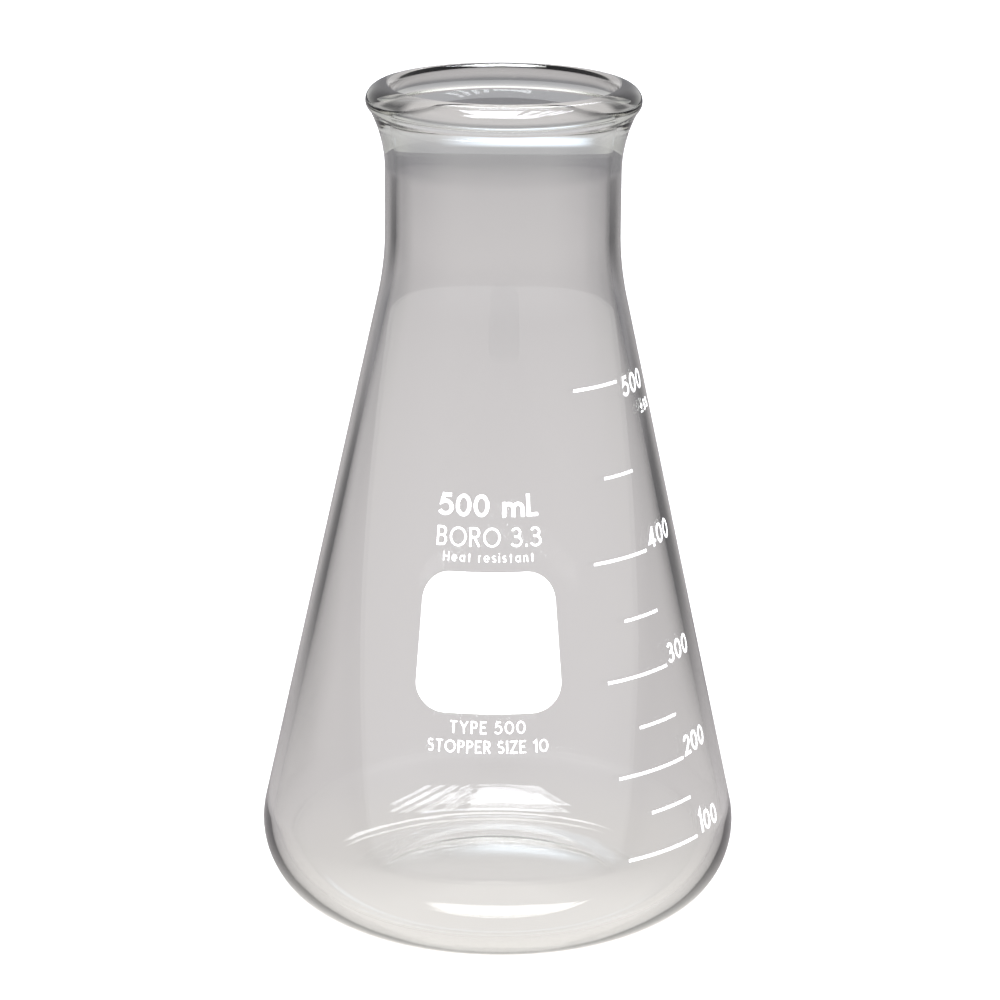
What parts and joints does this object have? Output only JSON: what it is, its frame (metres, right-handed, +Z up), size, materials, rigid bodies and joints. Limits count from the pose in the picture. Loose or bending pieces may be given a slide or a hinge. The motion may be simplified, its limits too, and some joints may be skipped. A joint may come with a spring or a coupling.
{
  "type": "erlenmeyer flask",
  "caption": "Clear glass conical laboratory flask with a heavy beaded rim, white enamel graduations, a capacity mark and a blank marking spot.",
  "frame": {"origin": "centre of the flat resting ring, on the plane the flask stands on", "axes": "+Z up along the flask's axis; -Y towards the marking spot; the graduations are on the +X side"},
  "size_m": [0.101, 0.101, 0.1775],
  "materials": {
    "glass": "clear polished borosilicate glass, very faint grey-green at the thick rim",
    "enamel_white": "fired white screen-printed enamel, satin"
  },
  "bodies": {
    "root": {"flask_body": "glass", "marking_spot": "enamel_white", "capacity_digit_5": "enamel_white", "capacity_digit_0_first": "enamel_white", "capacity_digit_0_second": "enamel_white", "capacity_letter_m": "enamel_white", "capacity_letter_l": "enamel_white", "line_100": "enamel_white", "line_150": "enamel_white", "line_200": "enamel_white", "line_250": "enamel_white", "line_300": "enamel_white", "line_350": "enamel_white", "line_400": "enamel_white", "line_450": "enamel_white", "line_500": "enamel_white", "numeral_100_hundreds": "enamel_white", "numeral_100_tens": "enamel_white", "numeral_100_ones": "enamel_white", "numeral_200_hundreds": "enamel_white", "numeral_200_tens": "enamel_white", "numeral_200_ones": "enamel_white", "numeral_300_hundreds": "enamel_white", "numeral_300_tens": "enamel_white", "numeral_300_ones": "enamel_white", "numeral_400_hundreds": "enamel_white", "numeral_400_tens": "enamel_white", "numeral_400_ones": "enamel_white", "numeral_500_hundreds": "enamel_white", "numeral_500_tens": "enamel_white", "numeral_500_ones": "enamel_white"}
  },
  "joints": []
}
